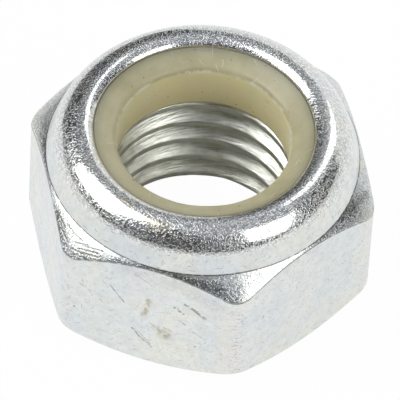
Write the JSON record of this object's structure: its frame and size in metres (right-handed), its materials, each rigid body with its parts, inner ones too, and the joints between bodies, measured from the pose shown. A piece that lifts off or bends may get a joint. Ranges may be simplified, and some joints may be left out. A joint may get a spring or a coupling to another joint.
{
  "type": "nylon insert lock nut",
  "caption": "Hexagon lock nut with a nylon ring held under its rolled rim, which grips the bolt's thread so that the nut can't work loose.",
  "frame": {"origin": "centre of the bearing face, on the thread's axis", "axes": "+Z along the thread's axis, from the bearing face to the insert end; the flats face +Y and -Y, and two corners lie on the X axis"},
  "size_m": [0.0338, 0.03, 0.0187],
  "materials": {
    "zinc_plated_steel": "bright zinc plating, smooth on the flats and grainy on the rolled rim",
    "nylon": "natural cream polyamide, slightly see-through"
  },
  "bodies": {
    "root": {"nut_body": "zinc_plated_steel", "nylon_insert": "nylon"}
  },
  "joints": []
}
